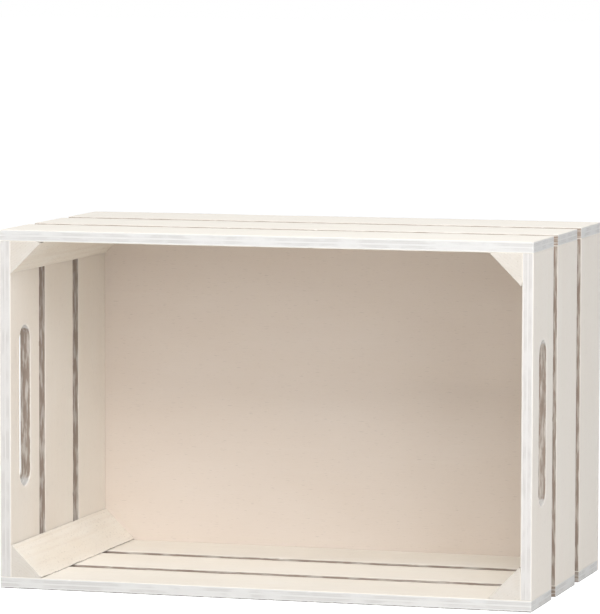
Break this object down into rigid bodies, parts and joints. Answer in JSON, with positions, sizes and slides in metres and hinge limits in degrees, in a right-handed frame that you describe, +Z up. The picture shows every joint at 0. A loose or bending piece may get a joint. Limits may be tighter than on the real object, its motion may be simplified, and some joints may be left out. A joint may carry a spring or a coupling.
{
  "type": "slatted storage crate",
  "caption": "Slatted plywood storage crate with an open rim, a hand-hold slot in each end, triangular corner posts and a thin base panel, lying on its long side.",
  "frame": {"origin": "middle of the underside, on the plane that the crate rests on as it lies on its long side", "axes": "+X along the length, to the right as seen from the open rim; +Y from the rim back to the base panel; +Z up"},
  "size_m": [0.46, 0.25, 0.303],
  "materials": {
    "long_slat_wood": "limed plywood, thin white wash over fine grain, bare ply layers on the edges",
    "end_slat_wood": "limed plywood, thin white wash over fine grain, bare ply layers on the edges",
    "corner_post_wood": "limed solid softwood, open speckled end grain at the rim",
    "base_panel_wood": "limed thin plywood, warm cream with darker streaks",
    "brad_steel": "bright steel brads, sunk and painted over"
  },
  "bodies": {
    "root": {"top_rim_slat": "long_slat_wood", "top_middle_slat": "long_slat_wood", "top_base_slat": "long_slat_wood", "bottom_rim_slat": "long_slat_wood", "bottom_middle_slat": "long_slat_wood", "bottom_base_slat": "long_slat_wood", "left_handle_slat": "end_slat_wood", "left_middle_slat": "end_slat_wood", "left_base_slat": "end_slat_wood", "right_handle_slat": "end_slat_wood", "right_middle_slat": "end_slat_wood", "right_base_slat": "end_slat_wood", "post_top_left": "corner_post_wood", "post_top_right": "corner_post_wood", "post_bottom_left": "corner_post_wood", "post_bottom_right": "corner_post_wood", "base_panel": "base_panel_wood", "brads_top": "brad_steel", "brads_bottom": "brad_steel", "brads_left": "brad_steel", "brads_right": "brad_steel", "brads_base": "brad_steel"}
  },
  "joints": []
}
